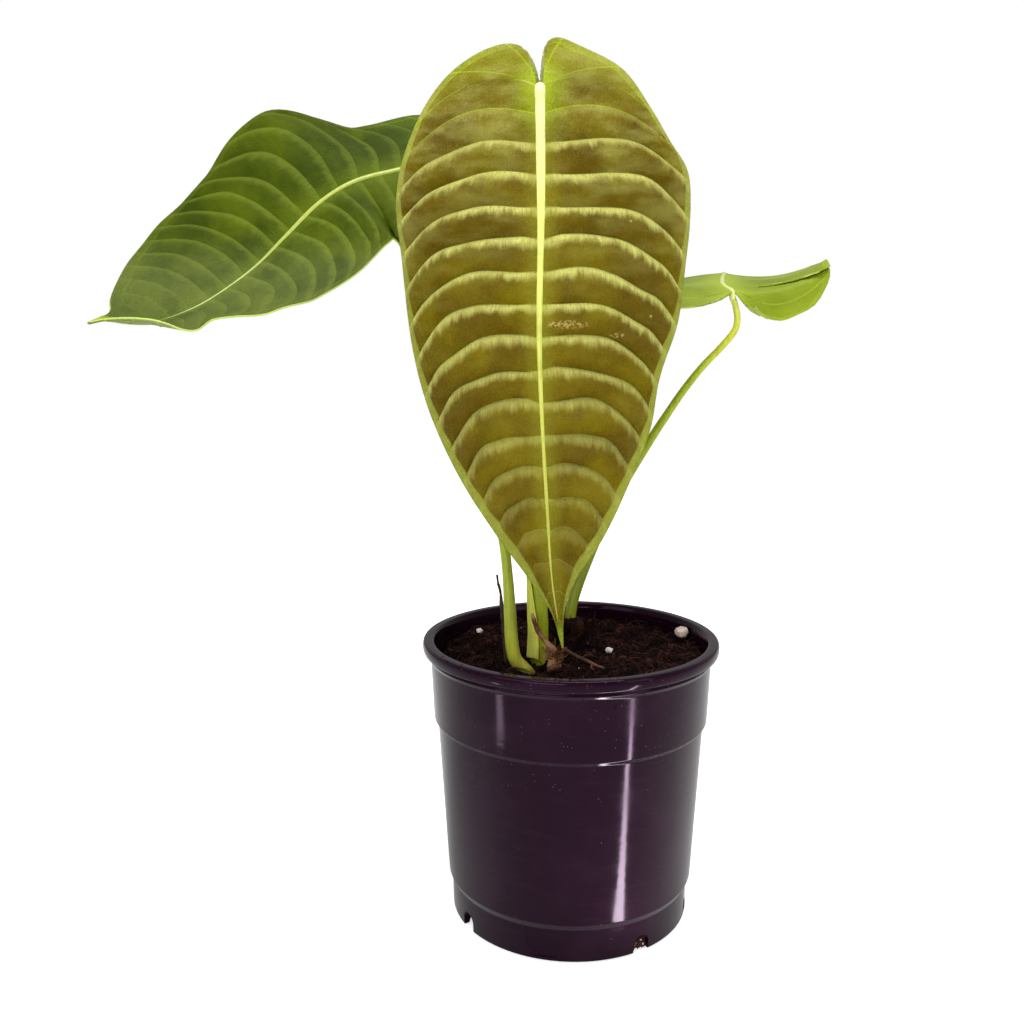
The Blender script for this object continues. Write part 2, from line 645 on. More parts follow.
def makeSweepTree():  # one stem, twig or strand: a round section along a path, then roughened
    tree, given, result = shapeTree("sweep", {
        "Sides": 28, "Roughness": 0.0001, "Lump Scale": 120.0, "Finish": None})
    curve = wired(tree, "GeometryNodeMeshToCurve", {"Mesh": given["Geometry"]})
    swept = sweep(tree, curve, named(tree, "girth"), given["Sides"])
    lift = times(tree, lumps(tree, given["Lump Scale"], 3, 0.6), given["Roughness"])
    return endTree(tree, result, lifted(tree, swept, lift), given["Finish"])


def makeCrumbTree():
    tree, given, result = shapeTree("crumbs", {
        "Density": 100000.0, "Smallest": 0.0004, "Largest": 0.0015, "Detail": 1, "Squash": 0.7, "Seed": 1,
        "Finish": None})
    ball = wired(tree, "GeometryNodeMeshIcoSphere", {"Radius": 1.0, "Subdivisions": given["Detail"]})
    luck = calc(tree, "POWER", drawn(tree, given["Seed"], 0.0, 1.0), 2.2)  # far more small ones than large
    size = wired(tree, "ShaderNodeMapRange", {
        "Value": luck, "To Min": given["Smallest"], "To Max": given["Largest"]})
    shape = wired(tree, "ShaderNodeCombineXYZ", {0: size, 1: size, 2: times(tree, size, given["Squash"])})
    turn = drawn(tree, given["Seed"], (0, 0, 0), (fullTurn, fullTurn, fullTurn), "FLOAT_VECTOR")
    balls = scatter(tree, given, ball, turn, shape)
    rough = moved(tree, balls, jitter(tree, 1300.0, 1.0), times(tree, given["Largest"], 0.75))
    return endTree(tree, result, rough, given["Finish"])


def makeFibreTree():  # short curly fibres that lie on a surface
    tree, given, result = shapeTree("fibres", {
        "Density": 60000.0, "Length": 0.008, "Thickness": 0.00013, "Curl": 0.005, "Lift": 0.35, "Seed": 1,
        "Finish": None})
    bow = wired(tree, "GeometryNodeCurvePrimitiveBezierSegment", {
        "Resolution": 9, "Start": (-0.5, 0, 0), "Start Handle": (-0.2, 0.35, 0.3),
        "End Handle": (0.25, -0.2, 0.25), "End": (0.5, 0.1, 0.0)})
    size = times(tree, drawn(tree, given["Seed"], 0.35, 1.0), given["Length"])
    lift, sink = given["Lift"], times(tree, given["Lift"], -1.0)
    low = wired(tree, "ShaderNodeCombineXYZ", {0: sink, 1: sink, 2: 0.0})
    high = wired(tree, "ShaderNodeCombineXYZ", {0: lift, 1: lift, 2: fullTurn})
    turn = drawn(tree, given["Seed"], low, high, "FLOAT_VECTOR")
    curly = moved(tree, scatter(tree, given, bow, turn, size), jitter(tree, 260.0, 2.0), given["Curl"])
    return endTree(tree, result, sweep(tree, curly, given["Thickness"], 4), given["Finish"])


pleatTree = makePleatTree()
ribTree = makeRibTree()
sweepTree = makeSweepTree()
crumbTree = makeCrumbTree()
fibreTree = makeFibreTree()
print("materials' groups and geometry trees ready")


# Pieces that follow a path

def sweepPiece(name, shape, finish):
    curve = smoothCurve(shape["path"])
    count = shape.get("rings", 150)
    f = np.linspace(0, 1, count)
    piece = meshPiece(name, along(curve, f) * mm, [], [finish], edges=[(i, i + 1) for i in range(count - 1)])
    remember(piece, "girth", tableAt(shape["radius"], f) * mm)
    remember(piece, "along", f)
    return grow(piece, sweepTree, {
        "Sides": shape.get("sides", 28), "Roughness": shape.get("rough", 0.12) * mm,
        "Lump Scale": shape.get("lumps", 140.0), "Finish": finish})


def joinPieces(main, *others):
    with bpy.context.temp_override(active_object=main, selected_editable_objects=[main, *others]):
        bpy.ops.object.join()
    return main


def thicken(piece, thickness, **more):
    thick = piece.modifiers.new("thick", "SOLIDIFY")
    for key, value in {"thickness": thickness * mm, "offset": 0, **more}.items():
        setattr(thick, key, value)
    settle(piece)


# Leaf blades: the same flat outlines, spines, tilts and folds as the CAD part, meshed much finer

frontLeaf = {
    "spine": [(-11, -14, 295.7), (-10.5, -22, 274.1), (-10.2, -27, 252.8), (-10.5, -33, 211.6),
              (-9.4, -34, 183.3), (-7.9, -33.3, 157.9), (-6.1, -31.5, 131.6), (-2.5, -28.1, 107.3)],
    "tilt": [(0, 82), (1, 82)],
    "left": {
        "outline": [(1, -1), (2.7, -7.5), (5.2, -15), (10.1, -17.5), (19.1, -16.4), (31.3, -9.5), (41.4, 3.3),
                    (48.2, 21.3), (50.2, 37.4), (47.5, 59.5), (43.6, 86.3), (38, 108.6), (29.2, 129.8),
                    (18.1, 149.7), (8.3, 164.6), (2.2, 176.7), (0, 191.8)],
        "fold": [(0, -5), (1, -5)], "curl": [(0, -0.004), (1, -0.004)], "droop": 0},
    "right": {
        "outline": [(1, -1), (1.5, -7.5), (2.6, -16.8), (6, -18.7), (14.2, -15.6), (28.1, -8), (37.4, 5.6),
                    (43.5, 17), (49.4, 27.5), (50.3, 39.9), (48.5, 60.6), (46.2, 79.7), (39.9, 99.7),
                    (36, 117.5), (28.1, 135.2), (17.1, 155), (7.7, 167.9), (2.8, 178.2), (0, 191.8)],
        "fold": [(0, -5), (1, -5)], "curl": [(0, -0.004), (1, -0.004)], "droop": 0},
    "basalVeins": 3, "mainVeins": 18, "pleat": 2.7, "columns": 40, "rows": 15, "wander": 2.2,
    "ribRadius": 0.36, "ribSink": 0.3,
    "midrib": [(0, 1.95), (0.12, 1.75), (0.35, 1.25), (0.7, 0.72), (0.93, 0.42), (1, 0.2)],
    "midribSink": [(0, 0.65), (0.35, 0.5), (0.8, 0.1), (1, 0)],
    "look": {
        "dark": (0.135, 0.084, 0.0003), "mid": (0.215, 0.16, 0.0004),
        "slope": (0.92, 0.92, 0.25), "slopeShare": 0.88, "tipSlope": 0.3,
        "line": (0.5, 0.54, 0.1), "lineShare": 0.5, "lineWidth": 0.03,
        "nearRib": (0.3, 0.29, 0.015), "ribShare": 0.45, "margin": (0.42, 0.48, 0.06), "marginShare": 0.75,
        "lobe": (0.36, 0.38, 0.01), "lobeShare": 0.6, "sinus": (0.55, 0.78, 0.02),
        "tip": (0.5, 0.62, 0.04), "tipFrom": 1.1, "shine": (0.58, 0.57, 0.13), "shineShare": 0.42,
        "markTone": (0.6, 0.46, 0.14),
        "marks": [  # old scuffs and a few pale dots: x, z, half width, half height, scribbled or plain
            (-1.5, 217.5, 8.6, 1.6, True), (14.8, 214.0, 3.0, 1.0, True),
            (19.1, 250.9, 0.55, 0.5, False), (25.9, 220.2, 0.55, 0.5, False)],
        "mottleScale": 60.0, "specular": 0.27, "roughness": 0.27, "bump": 1.4,
        "underDark": (0.19, 0.2, 0.045), "underPale": (0.28, 0.3, 0.09), "underVein": (0.46, 0.5, 0.16),
        "rim": (0.5, 0.6, 0.1)},
    "ribStops": [(0.0, (1.0, 1.0, 0.45)), (0.25, (0.86, 0.92, 0.24)), (0.5, (0.6, 0.64, 0.1)),
                 (1.0, (0.36, 0.36, 0.03))],
}

leftLeaf = {
    "spine": [(-47.8, 16.5, 278.7), (-63.2, 13, 274.8), (-78.5, 8.5, 270.2), (-90.2, 3.5, 262.3),
              (-101.5, -3, 249.7), (-110.1, -8.5, 239.7), (-118.7, -15.5, 231.4), (-128, -24, 223.9),
              (-137.2, -35, 219), (-142.7, -46, 218.4), (-145.9, -53, 218.9), (-148.7, -59, 217.8)],
    "tilt": [(0, 43.5), (0.16, 42), (0.29, 57), (0.42, 50.5), (0.55, 47), (0.65, 42), (1, 34)],
    "left": {
        "outline": [(1, -1), (3, -8), (8, -12.5), (18, -13), (28, -7), (34, 4), (35, 18), (36.4, 31),
                    (39.8, 42), (40.5, 52), (38.5, 66), (38, 80), (36.5, 92), (32.5, 104), (27.5, 115),
                    (20, 124.5), (11, 133.5), (5, 138), (2.2, 141.5), (0, 149.4)],
        "fold": [(0, 1.5), (0.16, 1.5), (0.29, 19), (0.42, 15.5), (0.55, 16), (0.65, 20), (1, 26)],
        "curl": [(0, -0.002), (1, -0.002)], "droop": 10},
    "right": {
        "outline": [(1, -1), (3, -8), (9, -12.5), (20, -12.5), (31, -6), (37.5, 8), (40, 28), (40.2, 50),
                    (40, 65), (38.6, 77), (36, 88), (33, 98), (27.4, 107), (22.6, 115), (21, 122),
                    (15.8, 129.5), (8, 136), (3.4, 140.5), (1.6, 143), (0, 149.4)],
        "fold": [(0, 1.5), (0.2, 2), (0.28, 19), (0.42, 15.5), (0.55, 17), (0.65, 19), (0.76, 23), (0.85, 12),
                 (0.93, 28), (1, 26)],
        "curl": [(0, -0.004), (1, -0.004)], "droop": 10},
    "basalVeins": 2, "mainVeins": 19, "pleat": 0.8, "columns": 34, "rows": 9, "wander": 1.0,
    "ribRadius": 0.32, "ribSink": 0.26,
    "midrib": [(0, 1.6), (0.35, 1.35), (0.7, 0.85), (1, 0.25)],
    "midribSink": [(0, 0.55), (0.4, 0.45), (1, 0.2)],
    "look": {
        "dark": (0.034, 0.058, 0.0003), "mid": (0.078, 0.112, 0.0008),
        "slope": (0.17, 0.22, 0.018), "slopeShare": 0.55, "tipSlope": 0.7,
        "line": (0.16, 0.22, 0.02), "lineShare": 0.5, "lineWidth": 0.035,
        "nearRib": (0.12, 0.18, 0.006), "ribShare": 0.35, "margin": (0.09, 0.14, 0.005), "marginShare": 0.4,
        "lobe": (0.13, 0.2, 0.01), "lobeShare": 0.4, "sinus": (0.2, 0.3, 0.02), "tip": (0.42, 0.54, 0.03),
        "silver": (0.27, 0.31, 0.13), "silverShare": 0.2, "silverFrom": 0.253, "silverFull": 0.232,
        "mottleScale": 55.0, "specular": 0.14, "roughness": 0.38, "bump": 0.8,
        "underDark": (0.14, 0.19, 0.04), "underPale": (0.24, 0.3, 0.09), "underVein": (0.4, 0.48, 0.17),
        "rim": (0.5, 0.66, 0.12)},
    "ribStops": [(0.0, (0.44, 0.5, 0.08)), (0.4, (0.44, 0.5, 0.09)), (0.8, (0.36, 0.42, 0.1)),
                 (1.0, (0.45, 0.56, 0.06))],
}

rightLeaf = {
    "spine": [(58.6, 15, 230.9), (56.4, 22, 233.6), (57.2, 31, 236.4), (59.9, 45, 239.6), (63.3, 72, 241.2),
              (66.4, 98, 242), (69.9, 125, 242.5), (72.6, 145, 242.8)],
    "tilt": [(0, 0), (1, 0)],
    "left": {
        "outline": [(1, -0.6), (3, -1.4), (8.5, -5), (13, -9.6), (18.5, -12.2), (26, -11.8), (33, -10.6),
                    (37, -6.5), (39.2, -1), (40.2, 10), (39.5, 26), (35, 48), (29.5, 70), (22, 92), (13, 110),
                    (5, 123), (0, 132.5)],
        "fold": [(0, -4), (0.12, -16), (0.3, -16), (0.5, -9), (1, -6)],
        "curl": [(0, 0.0155), (0.14, 0.0208), (0.3, 0.019), (0.45, 0.007), (1, 0.002)], "droop": 60},
    "right": {
        "outline": [(1, -0.6), (3, -1.4), (8, -5), (14, -9), (22, -10.6), (30, -8.6), (35.5, -3.5), (38, 4),
                    (39, 16), (37.5, 32), (34, 52), (28, 74), (20, 94), (11, 112), (4, 124), (0, 132.5)],
        "fold": [(0, -1), (0.22, -6), (1, -8)], "curl": [(0, -0.002), (1, -0.002)], "droop": 14},
    "basalVeins": 2, "mainVeins": 10, "pleat": 0.7, "columns": 34, "rows": 12, "wander": 1.2,
    "ribRadius": 0.3, "ribSink": 0.24,
    "midrib": [(0, 1.1), (0.3, 0.85), (0.7, 0.5), (1, 0.22)],
    "midribSink": [(0, 0.4), (0.4, 0.3), (1, 0.18)],
    "look": {
        "dark": (0.15, 0.21, 0.01), "mid": (0.22, 0.29, 0.02),
        "slope": (0.28, 0.36, 0.05), "slopeShare": 0.5, "tipSlope": 0.7,
        "line": (0.42, 0.52, 0.08), "lineShare": 0.5, "lineWidth": 0.04,
        "nearRib": (0.34, 0.42, 0.04), "ribShare": 0.4, "margin": (0.32, 0.42, 0.02), "marginShare": 0.5,
        "lobe": (0.26, 0.34, 0.01), "lobeShare": 0.5, "sinus": (0.36, 0.46, 0.03),
        "mottleScale": 55.0, "specular": 0.3, "roughness": 0.42, "bump": 0.3,
        "underDark": (0.24, 0.3, 0.04), "underPale": (0.36, 0.42, 0.07), "underVein": (0.5, 0.56, 0.14),
        "rim": (0.55, 0.66, 0.12)},
    "ribStops": [(0.0, (0.7, 0.76, 0.24)), (0.4, (0.6, 0.66, 0.2)), (0.8, (0.5, 0.56, 0.14)),
                 (1.0, (0.5, 0.6, 0.12))],
}


def bladeFrame(leaf, f):  # points on the spine, the way on from there and the way up from the blade
    point, ahead = along(leaf["curve"], f), heading(leaf["curve"], f)
    tilt = np.radians(tableAt(leaf["tilt"], f))
    normal = np.stack([0 * tilt, -np.sin(tilt), np.cos(tilt)], -1)
    normal = normal - (normal * ahead).sum(-1, keepdims=True) * ahead
    return point, ahead, normal / np.linalg.norm(normal, axis=-1, keepdims=True)


def placeOnBlade(leaf, half, width, run):
    f = np.clip(run / leaf["length"], 0, 1)
    point, ahead, normal = bladeFrame(leaf, f)
    side = np.cross(normal, ahead)
    shape = leaf["right"] if half > 0 else leaf["left"]
    fold, curl = np.radians(tableAt(shape["fold"], f)), tableAt(shape["curl"], f)
    end = fold + curl * width
    across, up = (np.sin(end) - np.sin(fold)) / curl, (np.cos(fold) - np.cos(end)) / curl
    point = point + side * (half * across)[..., None] + normal * up[..., None]
    behind = np.maximum(0, -run)
    droop = math.radians(shape["droop"]) * gentle(behind, -4, 8)
    return point - ahead * (behind * np.cos(droop))[..., None] - normal * (behind * np.sin(droop))[..., None]


def bladeRows(leaf):  # each row's place, counted in side veins from the sinus
    phase = np.linspace(0, 1, leaf["rows"] + 1)[:-1]
    phase = phase - 0.09 * np.sin(2 * np.pi * phase)  # closer rows beside each vein
    veins = leaf["basalVeins"] + leaf["mainVeins"]
    return np.concatenate([phase + i for i in range(veins)] + [[veins]])


def bladeHalf(leaf, half, k):  # half is -1 on the left and 1 on the right, k as bladeRows gives it
    basalVeins, veins = leaf["basalVeins"], leaf["basalVeins"] + leaf["mainVeins"]
    inner, band, edgeBand = leaf["columns"], 5, 3  # columns inside and outside the collective vein, 3 mm in
    basal = np.minimum(1, k / basalVeins)
    main = np.maximum(0, (k - basalVeins) / leaf["mainVeins"])
    share = np.where(basal < 1, 0.25 * basal, 0.25 + 0.9 * main - 0.15 * main ** 2)
    outline = leaf["right" if half > 0 else "left"]["outline"]
    end = along(smoothCurve(outline), np.clip(share, 0, 1))
    start = main * leaf["length"]
    reach = np.maximum(0.01, np.hypot(end[:, 0], end[:, 1] - start))
    bandShare = np.minimum(edgeBand / reach, 0.22)
    bandStart = (1 - bandShare)[:, None]
    down = gentle(main, 0, 0.22)
    elbowSide = end[:, 0] * (0.3 + 0.2 * basal + 0.3 * down)
    elbowRun = 0.9 * end[:, 1] * (1 - basal) + (start - (0.3 - 0.15 * down) * end[:, 0]) * basal
    inside = np.linspace(0, 1, inner + 1) ** 1.25
    outside = np.linspace(0, 1, band + 1)[1:]
    t = np.concatenate([bandStart * inside, 1 - bandShare[:, None] * (1 - outside)], axis=1)
    width = 2 * t * (1 - t) * elbowSide[:, None] + t * t * end[:, :1]
    run = (1 - t) ** 2 * start[:, None] + 2 * t * (1 - t) * elbowRun[:, None] + t * t * end[:, 1:2]
    wander = np.array([[noise.noise(Vector((0.8 * a + 9 * half, 2.6 * b, 0))) for b in line]
                       for a, line in zip(k, t)])
    calm = gentle(k, basalVeins, basalVeins + 3) * (1 - gentle(k, veins - 5, veins - 1))
    run = run + leaf["wander"] * wander * gentle(t, 0, 0.1) * (1 - gentle(t, 0.6, 0.95)) * calm[:, None]
    ends = gentle(k, basalVeins + 0.3, basalVeins + 3) * (1 - gentle(k, veins - 6, veins - 1.5))
    fade = gentle(t, 0, 0.16) * (1 - gentle(t - bandStart, -0.1, 0.06)) * ends[:, None]
    column = np.arange(t.shape[1])[None, :]
    whole = (np.abs(k - np.round(k)) < 1e-6) & (k > 0.5) & (k < veins - 0.5)
    onVein = (whole[:, None] & (column <= inner)) | ((column == inner) & (k > 0.5)[:, None])
    onVein = onVein | ((column == 0) & (k <= basalVeins)[:, None])
    own = {"vein": k[:, None] + 0 * t, "ribMm": t * reach[:, None],
           "edgeMm": edgeBand * (1 - t) / bandShare[:, None], "fade": fade, "half": (half > 0) + 0 * t,
           "onVein": onVein, "ends": ends[:, None] + 0 * t}
    return placeOnBlade(leaf, half, width, run) * mm, own


def bladeSheet(name, leaf):
    leaf["curve"] = smoothCurve(leaf["spine"])
    leaf["length"] = leaf["left"]["outline"][-1][1]
    k = bladeRows(leaf)
    points, faces, saved = [], [], {}
    for half in (-1, 1):
        grid, own = bladeHalf(leaf, half, k)
        quads = gridFaces(*grid.shape[:2], first=len(points))
        faces.extend(quads if half > 0 else [quad[::-1] for quad in quads])
        points.extend(grid.reshape(-1, 3))
        for key, values in own.items():
            saved.setdefault(key, []).append(np.asarray(values, float).ravel())
    sheet = meshPiece(name, points, faces, [])
    for key, values in saved.items():
        remember(sheet, key, np.concatenate(values))
    mend(sheet, 4e-6, outward=False)
    return sheet


def makeMidrib(name, leaf, finish):
    f = np.linspace(0, 1, 120)
    point, ahead, normal = bladeFrame(leaf, f)
    path = point - normal * tableAt(leaf["midribSink"], f)[:, None]
    start = path[0] - ahead[0] * 1.6 - normal[0] * 2.4  # the tube dives to the petiole behind the sinus
    shape = {"path": [start, *path[::3]], "radius": leaf["midrib"], "rings": 130, "sides": 24, "rough": 0.05}
    return sweepPiece(name, shape, finish)


def makeBlade(name, leaf, part, slot):
    look = dict(leaf["look"], basal=leaf["basalVeins"], veins=leaf["basalVeins"] + leaf["mainVeins"])
    upper = makeBladeMaterial(name + "Upper", look)
    under = makeUnderMaterial(name + "Under", look)
    rim = makeStemMaterial(name + "Rim", {
        "stops": [(0, look["rim"]), (1, look["rim"])], "shade": tuple(0.6 * c for c in look["rim"]),
        "roughness": 0.4})
    veins = makeStemMaterial(name + "Veins", {
        "stops": [(0, look["line"]), (1, look["underVein"])], "shade": look["mid"], "roughness": 0.42})
    midrib = makeStemMaterial(name + "Midrib", {
        "stops": leaf["ribStops"], "shade": look["nearRib"], "roughness": 0.28, "streak": 0.2, "coat": 0.4})
    blade = bladeSheet(name, leaf)
    grow(blade, pleatTree, {
        "Pleat Height": leaf["pleat"] * mm, "Unevenness": 0.5 * mm, "Seed": 4, "Finish": upper})
    ribs = copyPiece(blade, name + "Ribs")
    grow(ribs, ribTree, {"Rib Radius": leaf["ribRadius"] * mm, "Sink": leaf["ribSink"] * mm, "Finish": veins})
    blade.data.materials.clear()
    for finish in (upper, under, rim):
        blade.data.materials.append(finish)
    thicken(blade, 0.6, use_quality_normals=True, material_offset=1, material_offset_rim=2)
    joinPieces(blade, ribs, makeMidrib(name + "Midrib", leaf, midrib))
    settlePiece(blade, slot, part)
    print(name, "made,", len(blade.data.polygons), "faces")


makeBlade("leafFront", frontLeaf, "blade_front", "blade_olive")
makeBlade("leafLeft", leftLeaf, "blade_left", "blade_green")
makeBlade("leafRight", rightLeaf, "blade_right", "blade_green")


# Petioles: each runs on past its CAD end into its blade's midrib

petioles = {
    "petioleFront": {
        "node": "petiole_front",
        "path": [(-12, -5.5, 84), (-11.4, -5, 97), (-11.1, -4.6, 106.6), (-11.5, -4.4, 118.7),
                 (-11.9, -3.5, 133.5), (-12.3, -2, 155.5), (-12.1, 1, 191.7), (-11.8, 3.5, 227.4),
                 (-11.3, 5, 258), (-11, 3.6, 275), (-10.9, 0, 286), (-11, -5, 291.5), (-11, -11, 294),
                 (-11, -13.4, 294.4)],
        "radius": [(0, 3.2), (0.15, 3.1), (0.6, 2.6), (0.88, 2.2), (0.94, 2.6), (1, 1.9)], "rough": 0.22,
        "look": {"stops": [(0, (0.46, 0.5, 0.03)), (0.1, (0.36, 0.42, 0.008)), (0.5, (0.28, 0.36, 0.006)),
                           (0.9, (0.3, 0.4, 0.02)), (1, (0.4, 0.5, 0.04))],
                 "shade": (0.17, 0.2, 0.004), "roughness": 0.36, "spots": 0.3}},
    "petioleLeft": {
        "node": "petiole_left",
        "path": [(-12.4, -14.2, 87), (-15.4, -16.6, 95), (-19.3, -18, 99.8), (-20.6, -19, 105.7),
                 (-21.3, -19, 118.1), (-22, -18, 129.1), (-23.1, -17, 139.7), (-26.1, -14, 157.1),
                 (-32.6, -6, 192), (-39.7, 4, 227.7), (-44.6, 15, 253), (-47.4, 21.6, 265),
                 (-49, 22.4, 272.4), (-49.6, 18.6, 276.4), (-48.8, 16.8, 278)],
        "radius": [(0, 2.6), (0.1, 2.4), (0.25, 1.8), (0.85, 1.6), (0.95, 1.9), (1, 1.3)], "rough": 0.2,
        "look": {"stops": [(0, (0.6, 0.55, 0.08)), (0.08, (0.55, 0.54, 0.06)), (0.17, (0.36, 0.42, 0.02)),
                           (0.9, (0.2, 0.26, 0.012)), (1, (0.3, 0.38, 0.03))],
                 "shade": (0.11, 0.13, 0.006), "roughness": 0.34, "spots": 0.9}},
    "petioleRight": {
        "node": "petiole_right",
        "path": [(0.5, 5.5, 92), (-0.2, 5.4, 104), (0.9, 5.6, 115.2), (8.1, 7, 135.8),
                 (16.2, 8.8, 153.8), (27.1, 10.2, 172.8), (35.8, 11.4, 186.5), (42.3, 12.2, 196),
                 (48.5, 13, 203.7), (56.1, 14, 211.7), (60, 14.8, 216.8), (60.9, 15.4, 220.8),
                 (60.3, 16, 225), (58.8, 16.4, 229.4), (58.3, 16.4, 230.7)],
        "radius": [(0, 2.1), (0.25, 2), (0.5, 1.65), (0.85, 1.25), (1, 1.1)], "rough": 0.14,
        "look": {"stops": [(0, (0.24, 0.26, 0.02)), (0.3, (0.3, 0.38, 0.01)), (0.75, (0.4, 0.5, 0.015)),
                           (0.9, (0.62, 0.66, 0.05)), (1, (0.78, 0.8, 0.14))],
                 "shade": (0.2, 0.2, 0.008), "roughness": 0.34, "spots": 0.25}},
}

for name, stem in petioles.items():
    piece = sweepPiece(name, stem, makeStemMaterial(name + "Skin", stem["look"]))
    settlePiece(piece, "petiole", stem["node"])
print("petioles made")


# The pot: the CAD profile with rounded corners, then the same cuts

potShape = {
    "sides": 192,
    "profile": [  # radius, height and how far the corner is rounded, up the outside and down the inside
        (0, 0, 0), (19, 0, 0.6), (20.5, 3, 0.6), (41.5, 3, 0.6), (42.5, 0, 0.4), (44.6, 0, 0.5),
        (44.9, 12.0, 0.3), (46.1, 14.4, 0.3), (49.6, 73.4, 0.3), (51, 74.8, 0.35), (52.0, 97.0, 0.5),
        (52.9, 98.3, 0.4), (52.5, 99.1, 0.3), (52.6, 100, 0.3), (54.6, 100, 0.6), (55, 101.8, 0.8),
        (54.7, 104.2, 1.3), (50.9, 104.2, 0.9), (50.2, 102, 0.8), (50.2, 96.2, 2), (49.8, 76, 0.8),
        (48.3, 72.4, 0.8), (44.9, 14.7, 0.8), (43.7, 12.5, 0.5), (42.9, 4.5, 1), (0, 4.5, 0)],
    "notchAngle": -55, "notches": 4, "notchWidth": 6.6, "notchHeight": 6.2, "notchDepth": (41.5, 4.2),
    "panelHalf": 15, "panelHeights": (1.4, 10.4), "panelDepth": (44.3, 4),  # flats between the notches
    "drainHoles": 6, "drainRing": 31, "drainRadius": 3,
}


def roundedProfile(corners):
    made = []
    for i, (r, z, size) in enumerate(corners):
        here = np.array((r, z), float)
        if size == 0:
            made.append(here)
            continue
        before, after = (np.array(corners[j][:2], float) - here for j in (i - 1, i + 1))
        size = min(size, 0.45 * np.linalg.norm(before), 0.45 * np.linalg.norm(after))
        a, b = (here + size * way / np.linalg.norm(way) for way in (before, after))
        for t in np.linspace(0, 1, 6):
            made.append((1 - t) ** 2 * a + 2 * t * (1 - t) * here + t * t * b)
    return made


def turned(name, profile, sides, materials):
    points, faces, rings = [], [], []
    for r, z in profile:
        if r < 1e-6:
            rings.append([len(points)])
            points.append((0, 0, z * mm))
        else:
            rings.append(list(range(len(points), len(points) + sides)))
            points.extend((r * mm * math.cos(a), r * mm * math.sin(a), z * mm)
                          for a in (2 * math.pi * i / sides for i in range(sides)))
    for low, high in zip(rings, rings[1:]):
        for i in range(sides):
            j = (i + 1) % sides
            if len(low) == 1:
                faces.append((low[0], high[j], high[i]))
            elif len(high) == 1:
                faces.append((low[i], low[j], high[0]))
            else:
                faces.append((low[i], low[j], high[j], high[i]))
    piece = meshPiece(name, points, faces, materials)
    mend(piece)
    return piece


def carve(piece, cutters):
    for cutter in cutters:
        cutter.data.materials.append(piece.data.materials[0])
        cut = piece.modifiers.new("cut", "BOOLEAN")
        cut.operation, cut.object, cut.solver = "DIFFERENCE", cutter, "MANIFOLD"
    settle(piece)
    for cutter in cutters:
        bpy.data.objects.remove(cutter)


def prism(name, outline, turn, near, depth):  # an outline in the YZ plane, pushed out along X, turned about Z
    count = len(outline)
    points = [(near + x, y, z) for x in (0, depth) for y, z in outline]
    points = [Matrix.Rotation(turn, 3, "Z") @ Vector(p) * mm for p in points]
    faces = [tuple(range(count))[::-1], tuple(range(count, 2 * count))]
    faces += [(i, (i + 1) % count, count + (i + 1) % count, count + i) for i in range(count)]
    cutter = meshPiece(name, points, faces, [], smooth=False)
    mend(cutter)
    return cutter


def makePot():
    pot = turned("potShell", roundedProfile(potShape["profile"]), potShape["sides"], [makePotMaterial()])
    cutters = []
    wide, tall, notches = potShape["notchWidth"] / 2, potShape["notchHeight"], potShape["notches"]
    arch = [(-wide, -1), (wide, -1)]
    arch += [(wide * math.cos(a), tall - wide + wide * math.sin(a)) for a in np.linspace(0, math.pi, 17)]
    half, (low, high) = potShape["panelHalf"], potShape["panelHeights"]
    panel = [(-half, low), (half, low), (half, high), (-half, high)]
    for i in range(notches):
        turn = math.radians(potShape["notchAngle"] + 360 * i / notches)
        cutters.append(prism("notch", arch, turn, *potShape["notchDepth"]))
        cutters.append(prism("panel", panel, turn + math.pi / notches, *potShape["panelDepth"]))
    radius, ring = potShape["drainRadius"], potShape["drainRing"] * mm
    for i in range(potShape["drainHoles"]):
        spin = 2 * math.pi * i / potShape["drainHoles"]
        hole = turned("hole", [(0, -1), (radius, -1), (radius, 9), (0, 9)], 32, [])
        hole.data.transform(Matrix.Translation((ring * math.cos(spin), ring * math.sin(spin), 0)))
        cutters.append(hole)
    carve(pot, cutters)
    pot.data.set_sharp_from_angle(angle=math.radians(38))
    settlePiece(pot, "pot_plastic", "pot")


makePot()
print("pot made")


# Soil: the CAD surface with finer lumps, then crumbs, bark chips and coir fibres strewn over it

